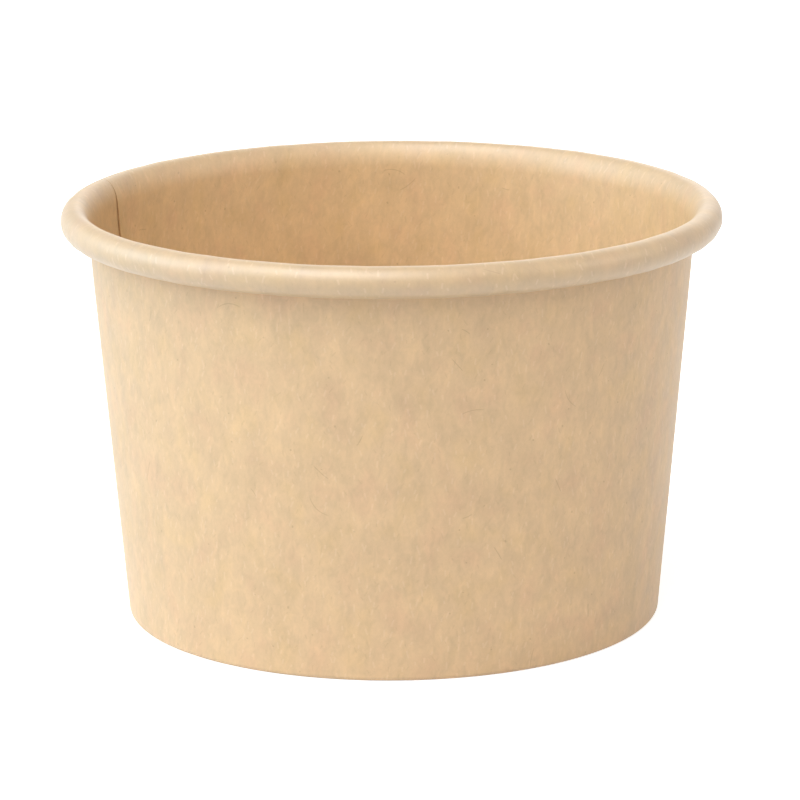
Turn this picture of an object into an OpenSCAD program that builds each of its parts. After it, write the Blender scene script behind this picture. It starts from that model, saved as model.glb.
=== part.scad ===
// Portion cup of kraft board: a rolled and lapped side wall with a base disc held in its hem

/* [Overall] */
// Height from the foot to the top of the brim
cup_h = 47; // [40:0.5:70]
// Diameter across the brim
brim_d = 74; // [68:0.5:90]
// Diameter of the wall's outer face at the foot
foot_d = 60.4; // [50:0.2:64]

/* [Board] */
// Thickness of the side wall's board
wall_t = 0.35; // [0.25:0.05:0.6]
// Thickness of the base's board
base_t = 0.35; // [0.25:0.05:0.6]
// Glue line between the boards that are folded together
glue_gap = 0.02; // [0.01:0.01:0.06]

/* [Brim] */
// Diameter of the rolled brim's own section
roll_d = 3.5; // [2.8:0.1:5]
// Angle by which the roll's tucked end turns back up beside the wall
tuck_turn = 150; // [60:10:190]

/* [Hem] */
// Depth of the recess under the base
recess_h = 5; // [3.5:0.1:10]
// Distance of the hem's inner flap below the underside of the base
flap_below = 0.8; // [0.3:0.1:2]

/* [Side seam] */
// Direction of the lap's inner cut edge about the cup's axis
seam_at = 159; // [0:1:359]
// Width of the lap at the foot
lap_w = 6.5; // [4:0.5:12]
// Length of wall at the foot over which the board climbs onto the lap
climb_w = 11; // [7:0.5:16]
// Width of the crevice beside the cut edge where it crosses the brim
crevice_w = 0.4; // [0.2:0.1:1]
// Depth of that crevice, less than the board
crevice_d = 0.18; // [0.1:0.02:0.24]

/* [Hidden] */
$fn = 144;
KRAFT = "#cfa97c";
KRAFT_INSIDE = "#c49a69";
FULL_TURN = 360;
HALF_TURN = 180;
DOWN = -90;
UP = 90;
ARC_STEP = 10;
CLEAR = 1;
// Part of the climb that the cuts and layers run past, where they no longer show
RUN_PAST = 1.4;

foot_r = foot_d / 2;
half_t = wall_t / 2;
roll_r = roll_d / 2;
roll_c = [brim_d / 2 - roll_r, cup_h - roll_r];
tuck_r = roll_r - wall_t - glue_gap;
tuck_c = [roll_c.x, roll_c.y - roll_r + tuck_r];

// The wall's outer face leaves the foot and touches the roll's inner circle
wall_reach = norm([roll_c.x - foot_r, roll_c.y]);
taper = atan((roll_c.x - foot_r) / roll_c.y) - asin((roll_r - wall_t) / wall_reach);
roll_start = HALF_TURN - taper;
wall_top = roll_c.y + roll_r * sin(taper);

// Depths below the wall's outer face, square to it
skirt_out = wall_t + glue_gap;
skirt_in = skirt_out + base_t;
flap_out = skirt_in + glue_gap;
flap_in = flap_out + wall_t;
flap_top = recess_h - flap_below;
base_top = recess_h + base_t;

// The lap, the climb and the crevice as angles about the axis
lap_a = lap_w / (PI * foot_d) * FULL_TURN;
climb_a = climb_w / (PI * foot_d) * FULL_TURN;
crevice_a = crevice_w / (PI * brim_d) * FULL_TURN;
// Off-centre place of the climb's own axis, from which the board rises by its thickness over the climb
climb_shift = half_t / sin(climb_a / 2);
climb_at = seam_at + climb_a / 2 + DOWN;

// Radius of the line that lies at a depth below the wall's outer face, at height z
function line_r(depth, z) = foot_r + z * tan(taper) - depth / cos(taper);

// Point of that line
function on_line(depth, z) = [line_r(depth, z), z];

// Unit vector at an angle
function ray(angle) = [cos(angle), sin(angle)];

// Points of an arc, without its first point where skip is 1
function arc(centre, r, from, to, skip = 0) =
    let (steps = ceil(abs(to - from) / ARC_STEP))
    [for (i = [skip:steps]) centre + r * ray(from + (to - from) * i / steps)];

// The roll from its underside over the outermost place and the top to the wall
function roll_arc(r) = concat(arc(roll_c, r, DOWN, UP), arc(roll_c, r, UP, roll_start, 1));

// The same the other way round
function roll_arc_back(r) = concat(arc(roll_c, r, roll_start, UP), arc(roll_c, r, UP, DOWN, 1));

// Round corner at the foot on the outer side, and the one on the inner side of a fold
function outer_corner(depth) = arc(on_line(depth, wall_t), wall_t, DOWN, -taper);
function inner_corner(depth) = arc(on_line(depth, wall_t), wall_t, HALF_TURN - taper, HALF_TURN - DOWN);

// Straight board between two depths and two heights
module strip(outer, inner, low, high) {
    polygon([on_line(outer, low), on_line(inner, low), on_line(inner, high), on_line(outer, high)]);
}

// The whole folded board: flap, foot, wall, roll and tucked end, and back along its other face
module board_section() {
    polygon(concat(
        [on_line(flap_in, flap_top)],
        inner_corner(flap_out),
        outer_corner(wall_t),
        roll_arc_back(roll_r - wall_t),
        arc(tuck_c, tuck_r - wall_t, DOWN, DOWN - tuck_turn, 1),
        arc(tuck_c, tuck_r, DOWN - tuck_turn, DOWN),
        roll_arc(roll_r),
        [on_line(wall_t, wall_t), on_line(flap_out, wall_t), on_line(flap_out, flap_top)]
    ));
}

// The lap's outer layer on the wall and the foot, from the middle of the board below it
module lap_section() {
    polygon(concat(
        [on_line(half_t, 0)],
        outer_corner(0),
        [on_line(-wall_t, roll_c.y), on_line(half_t, roll_c.y)]
    ));
}

// The lap's layer on the hem's flap
module flap_lap_section() {
    polygon(concat(
        [on_line(flap_out + half_t, 0), on_line(flap_out + half_t, flap_top)],
        [on_line(flap_in + wall_t, flap_top)],
        inner_corner(flap_in)
    ));
}

// A surface turned about the climb's own axis
module turned_off_centre() {
    translate(climb_shift * [cos(climb_at), sin(climb_at), 0])
        rotate_extrude()
            children();
}

// The lap with its square cut edge, and the board's climb onto it
module lap_and_climb() {
    intersection() {
        rotate_extrude(angle = lap_a + RUN_PAST * climb_a, start = seam_at - lap_a)
            lap_section();
        turned_off_centre()
            strip(-half_t, foot_r / 2, -CLEAR, roll_c.y + CLEAR);
    }
}

// The lap on the flap inside the foot
module flap_lap() {
    rotate_extrude(angle = lap_a, start = seam_at - lap_a)
        flap_lap_section();
}

// The space that the climb leaves inside, which bares the inner cut edge and closes at the roll
module climb_space() {
    intersection() {
        rotate_extrude(angle = RUN_PAST * climb_a, start = seam_at)
            polygon([
                on_line(wall_t + CLEAR, base_top),
                on_line(-wall_t, base_top),
                on_line(-wall_t, wall_top - roll_r),
                on_line(wall_t + half_t, wall_top),
                on_line(wall_t + CLEAR, wall_top)
            ]);
        turned_off_centre()
            strip(half_t, foot_r / 2, 0, cup_h);
    }
}

// The crevice beside the cut edge over the brim
module brim_crevice() {
    rotate_extrude(angle = crevice_a, start = seam_at)
        polygon(concat(
            arc(roll_c, roll_r - crevice_d, DOWN, roll_start + ARC_STEP),
            arc(roll_c, roll_r + CLEAR, roll_start + ARC_STEP, DOWN)
        ));
}

module side_wall() {
    color(KRAFT)
        difference() {
            union() {
                rotate_extrude()
                    board_section();
                lap_and_climb();
                flap_lap();
            }
            climb_space();
            brim_crevice();
        }
}

module base_disc() {
    edge = on_line(skirt_in, recess_h);
    low = wall_t + glue_gap;
    color(KRAFT_INSIDE)
        rotate_extrude()
            polygon(concat(
                [[0, recess_h], edge, on_line(skirt_in, low), on_line(skirt_out, low)],
                arc(edge, base_t, -taper, UP),
                [[0, base_top]]
            ));
}

side_wall();
base_disc();
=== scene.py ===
"""Kraft board portion cup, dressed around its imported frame: a folded side wall and a base disc."""

import logging
from dataclasses import dataclass, field
from enum import Enum
from math import atan, atan2, cos, degrees, pi, radians, sin, tan
from typing import Any

import bpy
import numpy as np
from mathutils import Euler, Matrix, Vector


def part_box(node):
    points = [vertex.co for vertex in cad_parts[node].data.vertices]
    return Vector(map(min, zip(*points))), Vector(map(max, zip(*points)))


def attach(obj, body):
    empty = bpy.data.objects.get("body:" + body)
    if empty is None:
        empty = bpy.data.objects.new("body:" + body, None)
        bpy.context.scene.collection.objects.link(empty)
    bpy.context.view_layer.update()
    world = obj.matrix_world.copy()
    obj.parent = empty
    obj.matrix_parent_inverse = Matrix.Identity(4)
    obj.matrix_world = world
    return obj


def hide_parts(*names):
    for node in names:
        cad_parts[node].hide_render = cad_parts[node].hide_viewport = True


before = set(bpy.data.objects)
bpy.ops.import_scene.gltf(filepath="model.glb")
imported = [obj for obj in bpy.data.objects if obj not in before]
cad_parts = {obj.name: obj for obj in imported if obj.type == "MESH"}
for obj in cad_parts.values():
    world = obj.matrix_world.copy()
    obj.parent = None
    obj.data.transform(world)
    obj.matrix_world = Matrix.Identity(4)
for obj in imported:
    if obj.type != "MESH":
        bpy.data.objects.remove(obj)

log = logging.getLogger("portion_cup")
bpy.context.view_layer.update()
MM = 0.001
TURN = 2 * pi
QUARTER = pi / 2
SAME_POINT = 1e-9
SHARP_FROM = radians(38)


class Mark(Enum):
    """Values that each vertex carries for the finish."""

    FOOD_SIDE = "food_side"
    CUT_EDGE = "cut_edge"
    BRIM = "brim"


@dataclass(frozen=True)
class CupSizes:
    """Sizes of the cup in metres and radians; the height and the brim come from the frame.

    Attributes:
        height: from the floor to the brim's top.
        brim_r: outer radius of the brim.
        foot_r: outer radius of the wall at the floor.
        board: thickness of the wall's board.
        base_board: thickness of the base's board.
        glue: thickness of a glue line.
        mouth_half_w: half width of the oval on which the wall opens into the brim.
        mouth_half_h: its half height.
        roll_half_w: half width of the brim's roll.
        roll_half_h: its half height.
        tuck_turn: how far the roll's end turns up beside the wall.
        recess: height of the base's underside.
        flap_below: how far the hem's flap ends under the base.
        fold_r: inner radius of the hem's folds.
        seam_at: angle about the axis of the seam's inner cut edge.
        lap: width of the lap.
        climb: width over which the board climbs onto the lap.
        aims: how often the wall is aimed at the mouth.
    """

    height: float
    brim_r: float
    foot_r: float = 30.1 * MM
    board: float = 0.35 * MM
    base_board: float = 0.35 * MM
    glue: float = 0.02 * MM
    mouth_half_w: float = 1.8 * MM
    mouth_half_h: float = 3.6 * MM
    roll_half_w: float = 1.7 * MM
    roll_half_h: float = 1.77 * MM
    tuck_turn: float = radians(150)
    recess: float = 5.0 * MM
    flap_below: float = 0.8 * MM
    fold_r: float = 0.2 * MM
    seam_at: float = radians(159)
    lap: float = 6.5 * MM
    climb: float = 11.0 * MM
    aims: int = 8

    @property
    def roll_centre(self) -> tuple[float, float]:
        """Radius and height of the middle of the brim's roll."""
        return self.brim_r - self.roll_half_w, self.height - self.roll_half_h

    @property
    def mouth_centre(self) -> tuple[float, float]:
        """Radius and height of the middle of the bell mouth's oval, under the brim's top."""
        return self.roll_centre[0], self.height - self.mouth_half_h

    def touch_angle(self, lean: float) -> float:
        """Angle on the mouth's oval, up from its inmost point, at which its side runs at the lean."""
        return atan(self.mouth_half_h / self.mouth_half_w * tan(lean))

    def touch(self, lean: float) -> tuple[float, float]:
        """Radius and height of that point."""
        up = self.touch_angle(lean)
        return (self.mouth_centre[0] - self.mouth_half_w * cos(up),
                self.mouth_centre[1] + self.mouth_half_h * sin(up))

    @property
    def taper(self) -> float:
        """Angle of the wall, whose food side leaves the foot and runs smoothly into the mouth.

        Returns:
            The lean that holds still when the wall is aimed again and again at the point where
            the mouth's side runs at the lean found before.
        """
        lean = 0.0
        for _ in range(self.aims):
            r, z = self.touch(lean)
            lean = atan2(r - self.foot_r + self.board / cos(lean), z)
        return lean

    @property
    def layer(self) -> float:
        """Thickness of one board with its glue line."""
        return self.board + self.glue

    @property
    def lap_angle(self) -> float:
        """Angle about the axis that the lap covers."""
        return self.lap / self.foot_r

    @property
    def climb_angle(self) -> float:
        """Angle about the axis over which the board climbs onto the lap."""
        return self.climb / self.foot_r

    def climbed(self, turn: np.ndarray) -> np.ndarray:
        """Share of a layer that the board has climbed onto the lap.

        Args:
            turn: angle turned along the sheet.

        Returns:
            A smooth step from 0 to 1 over the climb, which ends after one whole turn.
        """
        return smooth_step((turn - (TURN - self.climb_angle)) / self.climb_angle)

    def on_wall(self, depth: float, z: float) -> tuple[float, float]:
        """Point of the wall's section.

        Args:
            depth: distance below the wall's outer face, square to it.
            z: height above the floor.

        Returns:
            Radius and height: the foot's radius, plus the height times the taper's tangent,
            less the depth over the taper's cosine.
        """
        return self.foot_r + z * tan(self.taper) - depth / cos(self.taper), z


def smooth_step(x: np.ndarray) -> np.ndarray:
    """Rises from 0 to 1 as x does, as three x squared less two x cubed, and is level beyond."""
    x = np.clip(x, 0.0, 1.0)
    return x * x * (3.0 - 2.0 * x)


@dataclass(frozen=True)
class Ripples:
    """Soft unevenness of formed board: a sum of sine waves with seeded phases.

    Attributes:
        seed: seed of the phases.
        depth: the deepest dent in metres.
        around: waves in one turn about the axis.
        along: radians of wave for each unit of the run.
        weakest: the least height of a wave, where the greatest is 1.
    """

    seed: int
    depth: float
    around: tuple[int, ...]
    along: tuple[float, ...]
    weakest: float = 0.4

    def field(self, angle: np.ndarray, run: np.ndarray) -> np.ndarray:
        """Depth of the unevenness on a grid.

        Args:
            angle: angle about the axis, in radians.
            run: place along the section, in radians or as a share of the height.

        Returns:
            The sum of wave heights times the sines of (waves around times angle, plus waves
            along times run, plus a phase), over its greatest size, moved to lie between 0 and 1
            and multiplied by the depth.
        """
        draw = np.random.default_rng(self.seed)
        total = np.zeros(np.broadcast(angle, run).shape)
        for m in self.around:
            for q in self.along:
                wave_height = draw.uniform(self.weakest, 1.0)
                total += wave_height * np.sin(m * angle + q * run + draw.uniform(0, TURN))
        return self.depth * (1.0 + total / np.abs(total).max()) / 2


@dataclass
class SectionPath:
    """The food side of the folded board in section.

    Attributes:
        points: radius and height, stretch by stretch.
        normals: unit vectors towards the board's outside face.
        yields: how a point moves where two boards lie on each other.
        brim: share of the brim's burnish and dents.
    """

    points: list[np.ndarray] = field(default_factory=list)
    normals: list[np.ndarray] = field(default_factory=list)
    yields: list[np.ndarray] = field(default_factory=list)
    brim: list[np.ndarray] = field(default_factory=list)

    def straight(self, start: tuple[float, float], end: tuple[float, float],
                 normal: tuple[float, float], count: int) -> None:
        """Adds a straight stretch: start plus a share of (end less start).

        Args:
            start: radius and height of its first point.
            end: radius and height of its last point.
            normal: unit vector towards the board's outside face.
            count: number of points.
        """
        share = np.linspace(0.0, 1.0, count)[:, None]
        self._add(np.array(start) + share * (np.array(end) - np.array(start)),
                  np.repeat([normal], count, 0), np.zeros((count, 2)), np.zeros(count))

    def arc(self, centre: tuple[float, float], radii: tuple[float, float], start: float, end: float,
            inward: float, count: int, give: float = 0.0,
            brim: tuple[float, float] = (0.0, 0.0)) -> None:
        """Adds an oval stretch: centre plus (half width times cosine, half height times sine).

        Args:
            centre: radius and height of the arc's middle.
            radii: half width and half height of the food side.
            start: first angle.
            end: last angle.
            inward: 1 if the outside face lies nearer the centre, -1 if further out.
            count: number of points.
            give: how much the arc shrinks, with its lowest point kept, where two boards share it.
            brim: share of the brim's burnish and dents at its first and last point.
        """
        angle = np.linspace(start, end, count)
        ray = np.stack([np.cos(angle), np.sin(angle)], 1)
        square = ray / np.array(radii)
        square /= np.hypot(*square.T)[:, None]
        share = np.linspace(0.0, 1.0, count)
        self._add(np.array(centre) + ray * np.array(radii), -inward * square,
                  -give * (ray + np.array([0.0, 1.0])),
                  brim[0] + (brim[1] - brim[0]) * smooth_step(share))

    def _add(self, points: np.ndarray, normals: np.ndarray, yields: np.ndarray,
             brim: np.ndarray) -> None:
        """Stores a stretch, without its first point where it repeats the last one stored.

        Args:
            points: radius and height of each point.
            normals: unit vector towards the board's outside face at each.
            yields: how each moves where two boards lie on each other.
            brim: share of the brim's burnish and dents at each.
        """
        joined = self.points and np.allclose(self.points[-1][-1], points[0], atol=SAME_POINT)
        first = 1 if joined else 0
        self.points.append(points[first:])
        self.normals.append(normals[first:])
        self.yields.append(yields[first:])
        self.brim.append(brim[first:])

    def arrays(self) -> tuple[np.ndarray, np.ndarray, np.ndarray, np.ndarray]:
        """The whole path as arrays of points, normals, yields and shares of the brim's roll."""
        return (np.vstack(self.points), np.vstack(self.normals), np.vstack(self.yields),
                np.concatenate(self.brim))


def new_piece(name: str, corners: np.ndarray, faces: list[list[int]], uv: np.ndarray,
              marks: dict[Mark, np.ndarray]) -> bpy.types.Object:
    """Makes a mesh object at the origin.

    Args:
        name: the piece's name.
        corners: its vertices in metres.
        faces: vertex numbers of each face, outward side anticlockwise.
        uv: a place on the flat board for each vertex, in metres.
        marks: values for each vertex.

    Returns:
        The linked object, shaded smooth with sharp cut edges.
    """
    mesh = bpy.data.meshes.new(name)
    mesh.from_pydata(corners.tolist(), [], faces)
    layer = mesh.uv_layers.new(name="board")
    loops = np.empty(len(mesh.loops), np.int32)
    mesh.loops.foreach_get("vertex_index", loops)
    layer.data.foreach_set("uv", uv[loops].astype(np.float32).ravel())
    for mark, values in marks.items():
        attribute = mesh.attributes.new(mark.value, "FLOAT", "POINT")
        attribute.data.foreach_set("value", values.astype(np.float32))
    mesh.polygons.foreach_set("use_smooth", np.ones(len(mesh.polygons), bool))
    mesh.set_sharp_from_angle(angle=SHARP_FROM)
    mesh.validate()
    mesh.update()
    piece = bpy.data.objects.new(name, mesh)
    bpy.context.scene.collection.objects.link(piece)
    return piece


def grid_faces(rows: int, columns: int, close_rows: bool) -> np.ndarray:
    """Quads of a grid whose vertex number is row times columns plus column.

    Args:
        rows: number of rows.
        columns: number of columns.
        close_rows: True to join the last row to the first.

    Returns:
        Array of four vertex numbers for each quad.
    """
    joins = rows if close_rows else rows - 1
    i, j = np.meshgrid(np.arange(joins), np.arange(columns - 1), indexing="ij")
    here, below = i * columns + j, (i + 1) % rows * columns + j
    return np.stack([here, below, below + 1, here + 1], -1).reshape(-1, 4)


@dataclass(frozen=True)
class PressedSeam:
    """How flat the rolling tools press the lap, thinnest at each cut edge.

    Attributes:
        wall_keep: share of the board's thickness left at the cut edge, on the wall.
        brim_keep: the same on the brim.
        reach: height below the section's top over which the pressing sets in.
        groove: depth of the groove beside the edge.
        groove_w: its half width.
        fine: distances from the cut edges at which extra stations lie.
    """

    wall_keep: float = 0.62
    brim_keep: float = 0.03
    reach: float = 6.0 * MM
    groove: float = 0.05 * MM
    groove_w: float = 0.3 * MM
    fine: tuple[float, ...] = (0.05 * MM, 0.1 * MM, 0.2 * MM, 0.35 * MM, 0.55 * MM, 0.8 * MM, 1.2 * MM)

    def pressed(self, z: np.ndarray) -> np.ndarray:
        """How far the tools press the lap, along the section.

        Args:
            z: height of each point of the section.

        Returns:
            0 on the wall, rising on a smooth step of the height over the reach below the highest
            point, and 1 from there on.
        """
        rising = smooth_step(1.0 + (z - z.max()) / self.reach)
        return np.where(np.arange(len(z)) > z.argmax(), 1.0, rising)

    def turns(self, sizes: CupSizes, count: int) -> np.ndarray:
        """Angles turned along the sheet, closer together beside its cut edges.

        Args:
            sizes: the cup's sizes.
            count: number of evenly spread angles.

        Returns:
            Rising angles from 0 to one turn and the lap.
        """
        end = TURN + sizes.lap_angle
        near = np.array(self.fine) / sizes.foot_r
        return np.unique(np.concatenate([np.linspace(0.0, end, count), near, TURN - near, [TURN],
                                         TURN + near, end - near]))

    def fit(self, sizes: CupSizes, turn: np.ndarray, pressed: np.ndarray) -> tuple[np.ndarray, np.ndarray]:
        """Depth of the food side below its cone and thickness of the board, on the grid.

        Args:
            sizes: the cup's sizes.
            turn: angle turned for each column.
            pressed: how far the tools press the lap at each row.

        Returns:
            Depth: one layer times the climbed share times (1 less the lost share over the lap),
            and a groove beside the edge, 4 times pressed times (1 less pressed) of its depth,
            that fades as exp of minus the squared distance. Thickness: the board times (1 less
            the lost share under the lap).
        """
        loss = 1.0 - (self.wall_keep + (self.brim_keep - self.wall_keep) * pressed)[:, None]
        climbed = sizes.climbed(turn)
        under = 1.0 - smooth_step(turn / sizes.lap_angle)
        over = 1.0 - smooth_step((turn - TURN) / sizes.lap_angle)
        apart = (turn - TURN) * sizes.foot_r / self.groove_w
        groove = self.groove * (4.0 * pressed * (1.0 - pressed))[:, None] * np.exp(-apart ** 2)
        return sizes.layer * climbed * (1.0 - loss * over) + groove, sizes.board * (1.0 - loss * under)


@dataclass
class SideWall:
    """The wall blank: hem flap, fold, cone, rolled brim and tucked end, lapped at the side seam.

    Attributes:
        sizes: the cup's sizes.
        seam: how the lap is pressed.
        stations: evenly spread columns of the grid.
        wall_points: points along the cone, and likewise for the mouth, roll, tuck, flap and folds.
        edge_loss: share of the thickness by which a cut edge is rounded on each side.
        roll_dents: unevenness of the brim.
        wall_dents: unevenness of the wall.
        free_low: shares of the height from which and over which the wall begins to give.
        free_high: shares of the height up to which and over which it stops.
    """

    sizes: CupSizes
    seam: PressedSeam = PressedSeam()
    stations: int = 390
    wall_points: int = 24
    mouth_points: int = 20
    roll_points: int = 26
    tuck_points: int = 11
    flap_points: int = 5
    corner_points: int = 6
    edge_loss: float = 0.14
    roll_dents: Ripples = Ripples(7, 0.08 * MM, (9, 17, 29, 41, 53), (0.7, 1.6))
    wall_dents: Ripples = Ripples(11, 0.05 * MM, (3, 5, 8, 13), (2.0, 5.0))
    free_low: tuple[float, float] = (0.12, 0.2)
    free_high: tuple[float, float] = (0.94, 0.12)

    def section(self) -> SectionPath:
        """The food side of the board from the flap's top edge to the roll's tucked end."""
        s = self.sizes
        lean = s.taper
        out, inn = (cos(lean), -sin(lean)), (-cos(lean), sin(lean))
        flap_out = s.board + s.base_board + 2 * s.glue
        bend_z = s.board + s.fold_r
        bend = (s.fold_r, s.fold_r)
        flap_bend = s.on_wall(flap_out - s.fold_r, bend_z)
        wall_bend = s.on_wall(s.board + s.fold_r, bend_z)
        centre = s.roll_centre
        tucked = (s.roll_half_w - s.layer, s.roll_half_h - s.layer)
        path = SectionPath()
        path.straight(s.on_wall(flap_out, s.recess - s.flap_below), s.on_wall(flap_out, bend_z), inn,
                      self.flap_points)
        path.arc(flap_bend, bend, pi - lean, 1.5 * pi, -1, self.corner_points)
        path.arc(wall_bend, bend, 1.5 * pi, TURN - lean, -1, self.corner_points)
        path.straight(s.on_wall(s.board, bend_z), s.touch(lean), out, self.wall_points)
        path.arc(s.mouth_centre, (s.mouth_half_w, s.mouth_half_h), pi - s.touch_angle(lean), QUARTER, 1,
                 self.mouth_points, brim=(0.0, 1.0))
        path.arc(centre, (s.roll_half_w, s.roll_half_h), QUARTER, -QUARTER, 1, self.roll_points,
                 brim=(1.0, 1.0))
        path.arc((centre[0], centre[1] - s.layer), tucked, -QUARTER, -QUARTER - s.tuck_turn, 1,
                 self.tuck_points, give=s.layer, brim=(1.0, 0.0))
        return path

    def build(self) -> bpy.types.Object:
        """Carries the section round the cup and closes its cut edges.

        The sheet starts at the inner cut edge and turns by (one turn plus the lap). Its depth
        under the food side's cone is 0, and over the climb it rises by one layer on a smooth step.
        Where two layers lie on each other, and over half a lap beyond, the folds yield. A vertex
        is the section's point, plus the yield, plus its depth along the normal, turned about the
        axis by (seam's angle less the turn so far).

        Returns:
            The wall's object.
        """
        s = self.sizes
        points, normals, yields, brim = self.section().arrays()
        turn = self.seam.turns(s, self.stations)
        shared = np.maximum(s.climbed(turn), 1.0 - smooth_step(2 * (turn / s.lap_angle - 1.0)))
        angle = s.seam_at - turn
        steps = np.hypot(*np.diff(points, axis=0).T)
        run = np.concatenate([[0.0], np.cumsum(steps)])
        tube = np.arctan2(points[:, 1] - s.roll_centre[1], points[:, 0] - s.roll_centre[0])
        share = points[:, 1] / s.height
        dents = (self.roll_dents.field(angle[None], tube[:, None]) * brim[:, None]
                 + self.wall_dents.field(angle[None], share[:, None]) * self._free_wall(share)[:, None])
        edge_along = np.zeros(len(points))
        edge_along[[0, -1]] = 1.0
        edge_round = np.zeros(len(turn))
        edge_round[[0, -1]] = 1.0
        cut = np.maximum(edge_along[:, None], edge_round[None])
        top, thick = self.seam.fit(s, turn, self.seam.pressed(points[:, 1]))
        loss = self.edge_loss * thick * cut
        grids = []
        for depth in (top + dents + loss, top + dents + thick - loss):
            r = points[:, :1] + yields[:, :1] * shared + normals[:, :1] * depth
            z = points[:, 1:] + yields[:, 1:] * shared + normals[:, 1:] * depth
            grids.append((r, self._press_flat(z, shared)))
        r = np.vstack([grids[0][0], grids[1][0][::-1]])
        z = np.vstack([grids[0][1], grids[1][1][::-1]])
        corners = np.stack([r * np.cos(angle), r * np.sin(angle), z], -1).reshape(-1, 3)
        rows, columns = r.shape
        faces = grid_faces(rows, columns, close_rows=True).tolist()
        half = rows // 2
        for column, flip in ((0, False), (columns - 1, True)):
            for i in range(half - 1):
                quad = [k * columns + column for k in (i, rows - 1 - i, rows - 2 - i, i + 1)]
                faces.append(quad[::-1] if flip else quad)
        full = np.ones(columns)
        food = np.repeat([1.0, 0.0], half)[:, None] * full
        burnished = np.concatenate([brim, np.zeros(half)])[:, None] * full
        place = self._flat_place(np.concatenate([run, run[::-1]]), turn)
        return new_piece("kraft_side_wall", corners, faces, place,
                         {Mark.FOOD_SIDE: food.ravel(), Mark.BRIM: burnished.ravel(),
                          Mark.CUT_EDGE: np.vstack([cut, cut[::-1]]).ravel()})

    def _free_wall(self, share: np.ndarray) -> np.ndarray:
        """Rises from 0 at the hem and at the roll to 1 between them, so that only the wall gives.

        Args:
            share: height as a share of the cup's height.

        Returns:
            The product of a smooth step up at the low end and one down at the high end.
        """
        start, rise = self.free_low
        stop, fall = self.free_high
        return smooth_step((share - start) / rise) * smooth_step((stop - share) / fall)

    def _press_flat(self, z: np.ndarray, shared: np.ndarray) -> np.ndarray:
        """Presses doubled folds down to the height of single ones.

        Args:
            z: heights on the grid.
            shared: 1 at the columns where two layers lie on each other, 0 elsewhere.

        Returns:
            Heights in which what lies under the bend's centre is squeezed into the room above
            the floor: (z plus extra) times bend height over (bend height plus extra).
        """
        bend_z = self.sizes.board + self.sizes.fold_r
        extra = self.sizes.layer * shared[None]
        pressed = (z + extra) * bend_z / (bend_z + extra)
        return np.where(z < bend_z, pressed, z)

    def _flat_place(self, run: np.ndarray, turn: np.ndarray) -> np.ndarray:
        """Place of each vertex on the flat, fan-shaped blank.

        Args:
            run: length along the section for each row.
            turn: angle turned about the axis for each column.

        Returns:
            Pairs for all vertices: the fan's radius times the sine and the cosine of the fan's
            angle, where the angle is the turn from the blank's middle times the taper's sine.
        """
        s = self.sizes
        fan_r = s.foot_r / sin(s.taper)
        fan = (turn - turn[-1] / 2) * sin(s.taper)
        radius = fan_r + run[:, None]
        return np.stack([radius * np.sin(fan), radius * np.cos(fan) - fan_r], -1).reshape(-1, 2)


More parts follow.
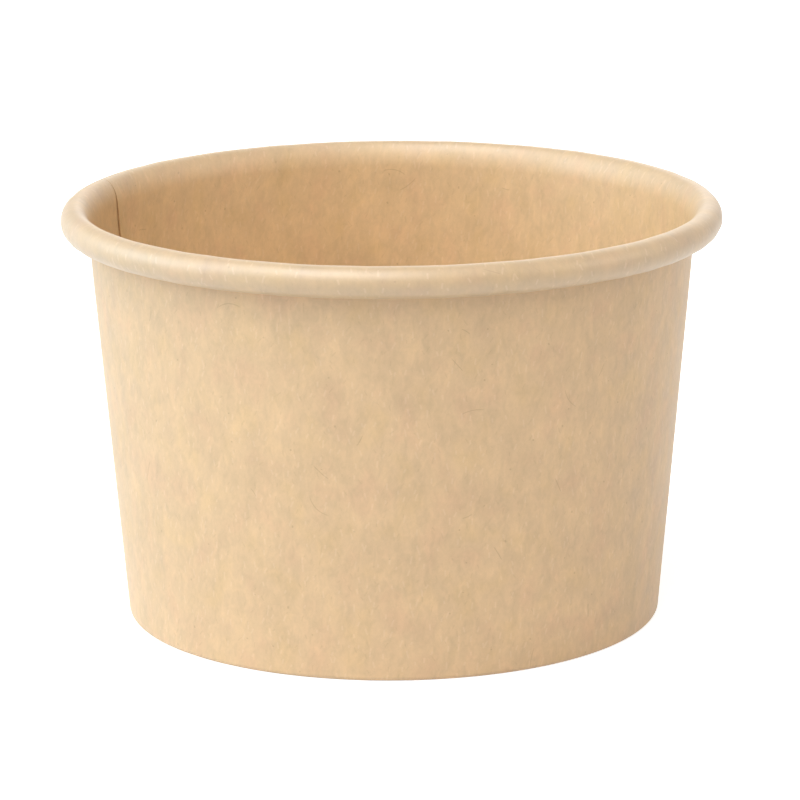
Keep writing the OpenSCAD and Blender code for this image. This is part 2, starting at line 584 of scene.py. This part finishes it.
@dataclass
class BaseDisc:
    """The base: a disc that sags a little, with a round shoulder and a skirt inside the hem.

    Attributes:
        sizes: the cup's sizes.
        stations: columns of the grid.
        shoulder: outer radius of the bend into the skirt.
        sag: how far the disc's middle hangs down.
        disc_points: points across the disc, and likewise for the shoulder and the skirt.
        dents: unevenness of the disc.
        dent_rise: how fast the dents set in inwards from the shoulder.
    """

    sizes: CupSizes
    stations: int = 240
    shoulder: float = 0.6 * MM
    sag: float = 0.18 * MM
    disc_points: int = 26
    shoulder_points: int = 9
    skirt_points: int = 6
    dents: Ripples = Ripples(5, 0.06 * MM, (2, 3, 5), (3.0, 7.0))
    dent_rise: float = 4.0

    def build(self) -> bpy.types.Object:
        """Turns the folded section about the axis and closes it at both poles.

        The disc dips by the sag times the square of (1 less the squared share of its radius),
        and by its dents times a smooth step inwards.

        Returns:
            The base's object.
        """
        s = self.sizes
        lean = s.taper
        depth = s.board + s.glue
        top_z = s.recess + s.base_board
        inner = self.shoulder - s.base_board
        centre = s.on_wall(depth + self.shoulder, top_z - self.shoulder)
        angle = np.linspace(QUARTER, -lean, self.shoulder_points)
        ray = np.stack([np.cos(angle), np.sin(angle)], 1)
        disc_r = np.linspace(0.0, centre[0], self.disc_points)[1:-1]
        dip = self.sag * (1.0 - (disc_r / centre[0]) ** 2) ** 2
        low = s.board + s.fold_r + s.glue
        down = np.linspace(centre[1], low, self.skirt_points)[1:]
        outer_skirt = np.array([s.on_wall(depth, z) for z in down])
        inner_skirt = np.array([s.on_wall(depth + s.base_board, z) for z in down])
        upper = np.vstack([np.stack([disc_r, top_z - dip], 1), np.array(centre) + self.shoulder * ray,
                           outer_skirt])
        under = np.vstack([np.stack([disc_r, s.recess - dip], 1), np.array(centre) + inner * ray,
                           inner_skirt])
        section = np.vstack([upper, under[::-1]])
        turn = np.linspace(0.0, TURN, self.stations, endpoint=False)
        flat = np.clip(1.0 - section[:, 0] / centre[0], 0.0, 1.0)[:, None]
        give = self.dents.field(turn[None], section[:, :1] / centre[0]) * smooth_step(self.dent_rise * flat)
        r = section[:, :1] + np.zeros_like(turn)
        z = section[:, 1:] - give
        poles = np.array([[0.0, 0.0, top_z - self.sag], [0.0, 0.0, s.recess - self.sag]])
        poles[:, 2] -= [give[0].mean(), give[-1].mean()]
        rings = np.stack([r * np.cos(turn), r * np.sin(turn), z], -1).reshape(-1, 3)
        corners = np.vstack([rings, poles])
        faces = self._faces(len(section))
        steps = np.hypot(*np.diff(section, axis=0).T)
        run = section[0, 0] + np.concatenate([[0.0], np.cumsum(steps)])
        run = np.minimum(run, run[::-1])[:, None]
        flat_place = np.stack([run * np.cos(turn), run * np.sin(turn)], -1).reshape(-1, 2)
        food = np.repeat([1.0, 0.0], [len(upper), len(under)])[:, None] * np.ones(self.stations)
        cut = np.zeros_like(food)
        cut[[len(upper) - 1, len(upper)]] = 1.0
        return new_piece("kraft_base_disc", corners, faces, np.vstack([flat_place, np.zeros((2, 2))]),
                         {Mark.FOOD_SIDE: np.append(food.ravel(), [1.0, 0.0]),
                          Mark.CUT_EDGE: np.append(cut.ravel(), [0.0, 0.0])})

    def _faces(self, rows: int) -> list[list[int]]:
        """Quads between the section's rings and triangles round the two poles.

        Args:
            rows: number of rings.

        Returns:
            Vertex numbers of each face.
        """
        n = self.stations
        faces = []
        for j in range(n):
            after = (j + 1) % n
            faces.append([rows * n, j, after])
            faces.append([rows * n + 1, (rows - 1) * n + after, (rows - 1) * n + j])
        i, j = np.meshgrid(np.arange(rows - 1), np.arange(n), indexing="ij")
        after = (j + 1) % n
        quads = np.stack([i * n + j, (i + 1) * n + j, (i + 1) * n + after, i * n + after], -1)
        return faces + quads.reshape(-1, 4).tolist()


class Socket:
    """An output socket on which arithmetic adds Math nodes."""

    def __init__(self, graph: "Graph", output: bpy.types.NodeSocket) -> None:
        """Wraps an output.

        Args:
            graph: the node tree's wrapper.
            output: the socket to read.
        """
        self.graph = graph
        self.output = output

    def _math(self, operation: str, *values: Any) -> "Socket":
        """A Math node of the given operation on the values."""
        return self.graph.node("ShaderNodeMath", {"operation": operation}, dict(enumerate(values)))

    def __add__(self, other: Any) -> "Socket":
        """Sum."""
        return self._math("ADD", self, other)

    __radd__ = __add__

    def __sub__(self, other: Any) -> "Socket":
        """Difference."""
        return self._math("SUBTRACT", self, other)

    def __rsub__(self, other: Any) -> "Socket":
        """Difference from a number."""
        return self._math("SUBTRACT", other, self)

    def __mul__(self, other: Any) -> "Socket":
        """Product."""
        return self._math("MULTIPLY", self, other)

    __rmul__ = __mul__

    def __truediv__(self, other: Any) -> "Socket":
        """Quotient."""
        return self._math("DIVIDE", self, other)

    def size(self) -> "Socket":
        """Value without its sign."""
        return self._math("ABSOLUTE", self)

    def most(self, other: Any) -> "Socket":
        """The larger of two values."""
        return self._math("MAXIMUM", self, other)

    def wave(self) -> tuple["Socket", "Socket"]:
        """Cosine and sine."""
        return self._math("COSINE", self), self._math("SINE", self)

    def between(self, low: float, high: float) -> "Socket":
        """Smooth step from 0 at low to 1 at high, falling where low is the larger."""
        return self.graph.node("ShaderNodeMapRange", {"interpolation_type": "SMOOTHSTEP"},
                               {0: self, 1: low, 2: high, 3: 0.0, 4: 1.0})


class Graph:
    """A material's or the world's node tree."""

    def __init__(self, owner: bpy.types.Material | bpy.types.World) -> None:
        """Clears the owner's nodes.

        Args:
            owner: a material or a world.
        """
        owner.use_nodes = True
        self.tree = owner.node_tree
        self.tree.nodes.clear()

    def node(self, kind: str, settings: dict[str, Any], values: dict[Any, Any], out: Any = 0) -> Socket:
        """Adds a node.

        Args:
            kind: the node's type.
            settings: its own properties, set first.
            values: for each input, by name or number, a number, a tuple or a Socket.
            out: name or number of the output to return.

        Returns:
            The chosen output.
        """
        made = self.tree.nodes.new(kind)
        for key, value in settings.items():
            setattr(made, key, value)
        for key, value in values.items():
            if isinstance(value, Socket):
                self.tree.links.new(value.output, made.inputs[key])
            else:
                made.inputs[key].default_value = value
        return Socket(self, made.outputs[out] if len(made.outputs) else None)

    def mix(self, share: Any, low: Any, high: Any, blend: str = "MIX") -> Socket:
        """Colour between two colours.

        Args:
            share: 0 for low, 1 for high.
            low: first colour.
            high: second colour.
            blend: the Mix node's blend type.

        Returns:
            The mixed colour.
        """
        return self.node("ShaderNodeMix", {"data_type": "RGBA", "blend_type": blend},
                         {0: share, 6: low, 7: high}, out=2)

    def vector(self, operation: str, *values: Any, out: int = 0) -> Socket:
        """A Vector Math node of the given operation on the values."""
        return self.node("ShaderNodeVectorMath", {"operation": operation}, dict(enumerate(values)), out=out)

    def noise(self, place: Socket, size: float, stretch: tuple[float, float], detail: float,
              warp: float = 0.0) -> Socket:
        """Noise whose grain has a real size.

        Args:
            place: position in metres.
            size: width of a grain in metres.
            stretch: how many times wider and longer than that the grain is.
            detail: the Noise node's detail.
            warp: the Noise node's distortion.

        Returns:
            Values about 0.5.
        """
        scaled = self.vector("MULTIPLY", place, (1.0 / stretch[0], 1.0 / stretch[1], 1.0))
        return self.node("ShaderNodeTexNoise", {"noise_dimensions": "2D"},
                         {"Vector": scaled, "Scale": 1.0 / size, "Detail": detail, "Distortion": warp})


def paint(red: int, green: int, blue: int) -> tuple[float, float, float, float]:
    """Linear colour that a shader takes, by the sRGB curve with its standard constants.

    Args:
        red: screen value from 0 to 255.
        green: screen value from 0 to 255.
        blue: screen value from 0 to 255.

    Returns:
        Red, green, blue and a full alpha.
    """
    screen = np.array([red, green, blue]) / 255.0
    linear = np.where(screen <= 0.04045, screen / 12.92, ((screen + 0.055) / 1.055) ** 2.4)
    return (*linear.tolist(), 1.0)


@dataclass(frozen=True)
class Mottle:
    """One scale of the board's unevenness.

    Attributes:
        size: width of a patch in metres.
        stretch: how many times wider and longer than that it is.
        warp: how much the patches are distorted.
        contrast: how strongly they lighten and darken the board.
        relief: how strongly they raise it.
        detail: the Noise node's detail.
    """

    size: float
    stretch: tuple[float, float]
    warp: float
    contrast: float
    relief: float
    detail: float = 1.0

    def swing(self, graph: Graph, place: Socket) -> Socket:
        """Noise of this scale, less its mean, so that it swings about 0."""
        return graph.noise(place, self.size, self.stretch, self.detail, self.warp) - 0.5


@dataclass(frozen=True)
class Strokes:
    """Scattered fibres or specks: one bent stroke in some of the cells of a random pattern.

    Attributes:
        tone: screen colour of a stroke.
        strength: how much of that colour covers the board.
        share: share of the cells that hold a stroke.
        spacing: width of a cell in metres.
        length: length of the longest stroke in metres.
        width: width of a stroke in metres.
        bend: how far a stroke's ends bend aside, as a share of its length.
        spread: degrees over which the strokes are turned about the board's grain.
        offset: metres by which the pattern is moved, so that no two layers line up.
        shortest: length of the shortest stroke as a share of the longest.
        sides: share of the width at which a stroke ends and at which it is full.
        tips: share of the length at which it ends and at which it is full.
        onset: how softly cells drop out at the share.
    """

    tone: tuple[int, int, int]
    strength: float
    share: float
    spacing: float
    length: float
    width: float
    bend: float
    spread: float
    offset: float
    shortest: float = 0.35
    sides: tuple[float, float] = (0.5, 0.15)
    tips: tuple[float, float] = (0.5, 0.35)
    onset: float = 0.02

    def mask(self, graph: Graph, place: Socket) -> Socket:
        """Mask of the strokes.

        Args:
            graph: the material's tree.
            place: position on the flat board in metres.

        Returns:
            1 on a stroke, 0 beside it. In each cell the place from the cell's own point is turned
            by a random angle within the spread about the board's grain, its width is bent by the
            square of its length, and it fades past half the stroke's width and length.
        """
        moved = graph.vector("ADD", place, (self.offset, self.offset, 0.0))
        cell = {"Vector": moved, "Scale": 1.0 / self.spacing}
        settings = {"voronoi_dimensions": "2D"}
        hue = graph.node("ShaderNodeTexVoronoi", settings, cell, out="Color")
        middle = graph.node("ShaderNodeTexVoronoi", settings, cell, out="Position")
        local = graph.vector("SUBTRACT", moved, middle)
        pick = [graph.node("ShaderNodeSeparateColor", {}, {0: hue}, out=i) for i in range(3)]
        x, y = (graph.node("ShaderNodeSeparateXYZ", {}, {0: local}, out=i) for i in range(2))
        turned = (pick[0] - 0.5) * radians(self.spread) + QUARTER
        cosine, sine = turned.wave()
        along = x * cosine + y * sine
        curve = (along * along) * ((pick[1] - 0.5) * (self.bend / self.length))
        across = (y * cosine - x * sine) - curve
        reach = self.length * (self.shortest + (1.0 - self.shortest) * pick[1])
        body = (across.size() / self.width).between(*self.sides)
        ends = (along.size() / reach).between(*self.tips)
        return body * ends * pick[2].between(1.0 - self.share, 1.0 - self.share + self.onset)


@dataclass(frozen=True)
class KraftFinish:
    """Brown kraft board: clouds, streaks, flecks, fibres and specks, and a burnished brim.

    Attributes:
        name: the material's name.
        outside: screen colour of the outer face.
        food: screen colour of the inner face.
        brim: screen colour of the rolled brim.
        cut: screen colour of a cut edge: the raw fibre ends' own darker brown, deepened into painted shade
            for the crevice beside the seam's cut edge.
        rosy: tint of the patches that turn to red.
        yellow: tint of the patches that turn to yellow.
        hue_size: width of a tinted patch in metres.
        hue_stretch: how many times wider and longer than that it is.
        hue_detail: the detail of their noise.
        rosy_range: noise at which the rosy tint begins and is full.
        yellow_range: noise at which the yellow tint begins and is full.
        mottles: patches of light and dark, from coarse to fine.
        strokes: pale flecks, short dark fibres, specks and hairs.
        side_range: food mark at which the board's pattern changes sides.
        cut_range: cut mark at which a cut edge's colour begins and is full.
        cut_and_shade_share: how much of that colour, the raw edge's tone and the painted crevice shade,
            covers the edge.
        rough: roughness of the board.
        rough_swing: how much it varies.
        rough_mottle: which of the mottles it varies with.
        relief: height of the mottles' relief in metres.
        burnish: strength of the brim's polish.
        gloss: index of refraction of the board's size and of the polish.
        brim_rough: roughness of the polish.
    """

    name: str
    outside: tuple[int, int, int] = (204, 172, 131)
    food: tuple[int, int, int] = (209, 177, 133)
    brim: tuple[int, int, int] = (179, 149, 107)
    cut: tuple[int, int, int] = (158, 116, 76)
    rosy: tuple[float, float, float, float] = (1.0, 0.96, 0.98, 1.0)
    yellow: tuple[float, float, float, float] = (1.0, 0.995, 0.935, 1.0)
    hue_size: float = 4.0 * MM
    hue_stretch: tuple[float, float] = (1.0, 1.3)
    hue_detail: float = 2.0
    rosy_range: tuple[float, float] = (0.5, 0.8)
    yellow_range: tuple[float, float] = (0.5, 0.2)
    mottles: tuple[Mottle, ...] = (
        Mottle(5.0 * MM, (1.0, 1.3), 0.0, 0.145, 0.9),
        Mottle(2.0 * MM, (1.0, 1.6), 0.3, 0.2, 0.7),
        Mottle(0.8 * MM, (1.0, 1.8), 0.6, 0.175, 0.5),
        Mottle(0.35 * MM, (1.0, 1.6), 0.6, 0.11, 0.3),
        Mottle(0.15 * MM, (1.0, 1.2), 0.0, 0.06, 0.2),
    )
    strokes: tuple[Strokes, ...] = (
        Strokes((240, 214, 182), 0.13, 0.45, 1.2 * MM, 1.1 * MM, 0.3 * MM, 0.3, 50, 0.31),
        Strokes((128, 92, 60), 0.12, 0.35, 1.4 * MM, 0.9 * MM, 0.2 * MM, 0.8, 90, 0.57),
        Strokes((128, 92, 60), 0.3, 0.2, 3.2 * MM, 0.34 * MM, 0.28 * MM, 0.0, 90, 0.73),
        Strokes((128, 92, 60), 0.26, 0.3, 7.0 * MM, 3.2 * MM, 0.16 * MM, 1.4, 180, 0.91),
    )
    side_range: tuple[float, float] = (0.3, 0.7)
    cut_range: tuple[float, float] = (0.2, 0.9)
    cut_and_shade_share: float = 0.6
    rough: float = 0.5
    rough_swing: float = 0.15
    rough_mottle: int = 1
    relief: float = 0.008 * MM
    burnish: float = 1.0
    gloss: float = 1.75
    brim_rough: float = 0.55

    def material(self) -> bpy.types.Material:
        """Builds the material.

        Returns:
            A material that reads the piece's own flat-board map and its marks. The tone of the
            face is multiplied by 1 plus the contrasts times the swings of all the mottles. The
            food side takes its pattern one metre away, so that it isn't the outside's.
        """
        made = bpy.data.materials.new(self.name)
        g = Graph(made)
        board = g.node("ShaderNodeUVMap", {"uv_map": "board"}, {})
        food, cut, brim = (g.node("ShaderNodeAttribute", {"attribute_name": mark.value}, {}, out="Fac")
                           for mark in (Mark.FOOD_SIDE, Mark.CUT_EDGE, Mark.BRIM))
        shift = g.node("ShaderNodeCombineXYZ", {}, {0: food.between(*self.side_range)})
        place = g.vector("ADD", board, shift)
        swings = [mottle.swing(g, place) for mottle in self.mottles]
        light, height = 1.0, 0.0
        for mottle, swing in zip(self.mottles, swings):
            light = swing * mottle.contrast + light
            height = swing * mottle.relief + height
        colour = g.mix(food, paint(*self.outside), paint(*self.food))
        colour = g.mix(brim, colour, paint(*self.brim))
        hue = g.noise(place, self.hue_size, self.hue_stretch, self.hue_detail)
        colour = g.mix(hue.between(*self.rosy_range), colour, self.rosy, "MULTIPLY")
        colour = g.mix(hue.between(*self.yellow_range), colour, self.yellow, "MULTIPLY")
        grey = g.node("ShaderNodeCombineXYZ", {}, {0: light, 1: light, 2: light})
        colour = g.vector("MULTIPLY", colour, grey)
        for layer in self.strokes:
            colour = g.mix(layer.mask(g, place) * layer.strength, colour, paint(*layer.tone))
        # Cut edges take the darker cut colour: partly the raw fibre ends' own brown, partly painted shade
        # of the crevice at the seam's step.
        colour = g.mix(cut.between(*self.cut_range) * self.cut_and_shade_share, colour, paint(*self.cut))
        bump = g.node("ShaderNodeBump", {}, {"Height": height, "Distance": self.relief})
        rough = self.rough + swings[self.rough_mottle] * self.rough_swing
        shader = g.node("ShaderNodeBsdfPrincipled", {},
                        {"Base Color": colour, "Roughness": rough, "Normal": bump,
                         "IOR": self.gloss, "Coat Weight": brim * self.burnish,
                         "Coat Roughness": self.brim_rough, "Coat IOR": self.gloss})
        g.node("ShaderNodeOutputMaterial", {}, {"Surface": shader})
        return made


@dataclass(frozen=True)
class Lamp:
    """A soft square studio light that looks at the cup's middle.

    Attributes:
        name: the light's name.
        azimuth: degrees to the right of the camera's side of the cup.
        elevation: degrees above the cup's middle.
        power: watts.
        colour: linear colour.
        distance: metres from the cup's middle.
        side: length of its side in metres.
    """

    name: str
    azimuth: float
    elevation: float
    power: float
    colour: tuple[float, float, float] = (1.0, 1.0, 1.0)
    distance: float = 0.8
    side: float = 0.5

    def hang(self, target: Vector) -> None:
        """Makes the light.

        Args:
            target: the point that it looks at.
        """
        data = bpy.data.lights.new(self.name, "AREA")
        data.shape = "SQUARE"
        data.size = self.side
        data.energy = self.power
        data.color = self.colour
        a, e = radians(self.azimuth), radians(self.elevation)
        away = Vector((sin(a) * cos(e), -cos(a) * cos(e), sin(e)))
        lamp = bpy.data.objects.new(self.name, data)
        lamp.location = target + away * self.distance
        lamp.rotation_euler = (-away).to_track_quat("-Z", "Y").to_euler()
        bpy.context.scene.collection.objects.link(lamp)


@dataclass(frozen=True)
class Studio:
    """Pale floor, white surround and soft lights.

    Attributes:
        floor_reach: half the floor's side in metres.
        floor_tone: grey of the floor for the light that it throws back.
        floor_glow: strength with which the seen floor is lifted towards white.
        floor_seen: grey of the seen floor, which holds the shadow.
        surround: strength of the even light from all round.
        lamps: the lights.
    """

    floor_reach: float = 3.0
    floor_tone: float = 0.8
    floor_glow: float = 0.7
    floor_seen: float = 0.75
    surround: float = 0.22
    lamps: tuple[Lamp, ...] = (
        Lamp("key_high", -45, 65, 4.0),
        Lamp("key_front", -12, 42, 2.1, (1.0, 0.93, 0.84)),
        Lamp("key_side", -60, 28, 1.0, (0.72, 0.88, 1.0)),
        Lamp("side_left", -90, 22, 2.9, (0.72, 0.89, 1.0)),
        Lamp("back_left", -125, 20, 0.6, (0.9, 0.96, 1.0)),
        Lamp("side_right", 80, 28, 1.5, (1.0, 0.92, 0.8)),
        Lamp("fill_back", 170, 25, 0.8, (1.0, 0.95, 0.88)),
    )

    def build(self, target: Vector) -> None:
        """Builds the floor, the surround and the lights.

        Args:
            target: the point that the lights look at.
        """
        mesh = bpy.data.meshes.new("floor")
        r = self.floor_reach
        mesh.from_pydata([(-r, -r, 0), (r, -r, 0), (r, r, 0), (-r, r, 0)], [], [(0, 1, 2, 3)])
        floor = bpy.data.objects.new("floor", mesh)
        bpy.context.scene.collection.objects.link(floor)
        mesh.materials.append(self._floor_material())
        self._surround()
        for lamp in self.lamps:
            lamp.hang(target)

    def _seen(self, g: Graph) -> Socket:
        """1 for what the camera, a reflection or a transmission sees."""
        rays = [g.node("ShaderNodeLightPath", {}, {}, out=name)
                for name in ("Is Camera Ray", "Is Glossy Ray", "Is Transmission Ray")]
        return rays[0].most(rays[1]).most(rays[2])

    def _floor_material(self) -> bpy.types.Material:
        """Pale floor that shows about white and keeps the cup's shadow."""
        made = bpy.data.materials.new("pale_floor")
        g = Graph(made)
        plain = g.node("ShaderNodeBsdfDiffuse", {}, {"Color": (*[self.floor_tone] * 3, 1)})
        shaded = g.node("ShaderNodeBsdfDiffuse", {}, {"Color": (*[self.floor_seen] * 3, 1)})
        glow = g.node("ShaderNodeEmission", {}, {"Color": (1, 1, 1, 1), "Strength": self.floor_glow})
        both = g.node("ShaderNodeAddShader", {}, {0: shaded, 1: glow})
        mixed = g.node("ShaderNodeMixShader", {}, {0: self._seen(g), 1: plain, 2: both})
        g.node("ShaderNodeOutputMaterial", {}, {"Surface": mixed})
        return made

    def _surround(self) -> None:
        """White to the camera, and a plain even light to the rest."""
        world = bpy.data.worlds.new("surround")
        bpy.context.scene.world = world
        g = Graph(world)
        light = g.node("ShaderNodeBackground", {}, {"Color": (1, 1, 1, 1), "Strength": self.surround})
        white = g.node("ShaderNodeBackground", {}, {"Color": (1, 1, 1, 1), "Strength": 1.0})
        mixed = g.node("ShaderNodeMixShader", {}, {0: self._seen(g), 1: light, 2: white})
        g.node("ShaderNodeOutputWorld", {}, {"Surface": mixed})


@dataclass(frozen=True)
class PhotoCamera:
    """The photograph's view: a long lens a little above the brim, looking along +Y.

    Attributes:
        distance: metres from the cup's middle.
        elevation: degrees above the cup's middle.
        yaw: degrees by which the view turns left.
        pitch: degrees by which it turns up.
        roll: degrees by which it rolls.
        focal_pixels: focal length in pixels of the frame.
        frame_pixels: width of the frame in pixels.
        sensor: sensor width in millimetres.
        near: distance in metres from which things are seen.
        far: distance in metres up to which they are.
    """

    distance: float = 509.0 * MM
    elevation: float = 14.0
    yaw: float = 0.093
    pitch: float = 0.035
    roll: float = 0.361
    focal_pixels: float = 4500.0
    frame_pixels: float = 800.0
    sensor: float = 36.0
    near: float = 20.0 * MM
    far: float = 20.0

    def place(self, target: Vector) -> None:
        """Makes the camera and gives it to the scene.

        Args:
            target: the point that it circles, from which its small turns lead the view away.
        """
        data = bpy.data.cameras.new("photo_camera")
        data.sensor_width = self.sensor
        data.lens = self.focal_pixels / self.frame_pixels * self.sensor
        data.clip_start, data.clip_end = self.near, self.far
        camera = bpy.data.objects.new("photo_camera", data)
        e = radians(self.elevation)
        camera.location = target + self.distance * Vector((0.0, -cos(e), sin(e)))
        aim = Euler((QUARTER - e, 0.0, 0.0)).to_matrix()
        for turn, axis in ((-self.yaw, "Y"), (self.pitch, "X"), (-self.roll, "Z")):
            aim = aim @ Matrix.Rotation(radians(turn), 3, axis)
        camera.rotation_euler = aim.to_euler()
        bpy.context.scene.collection.objects.link(camera)
        bpy.context.scene.camera = camera


@dataclass
class Cup:
    """The whole cup: both boards and their finishes."""

    sizes: CupSizes

    def build(self) -> None:
        """Builds both pieces, dresses them and puts them in the frame's place."""
        parts = (
            (SideWall(self.sizes).build(), "side_wall", "kraft_wall", KraftFinish("kraft_wall")),
            (BaseDisc(self.sizes).build(), "base_disc", "kraft_base",
             KraftFinish("kraft_base", outside=(193, 165, 126))),
        )
        for piece, node, slot, finish in parts:
            piece.data.materials.append(finish.material())
            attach(piece, "root")
            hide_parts(node)
            log.info("%s: %d vertices, %d faces", piece.name, len(piece.data.vertices),
                     len(piece.data.polygons))


def main() -> None:
    """Builds the camera, the cup and the studio."""
    logging.basicConfig(level=logging.INFO, format="%(name)s %(message)s")
    low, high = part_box("side_wall")
    sizes = CupSizes(height=high.z - low.z, brim_r=(high.x - low.x) / 2)
    middle = Vector((0.0, 0.0, sizes.height / 2))
    PhotoCamera().place(middle)
    log.info("camera placed, wall leans %.2f degrees", degrees(sizes.taper))
    Cup(sizes).build()
    Studio().build(middle)
    log.info("studio lit")
    bpy.context.scene.view_settings.view_transform = "Standard"


if __name__ == "__main__":
    main()
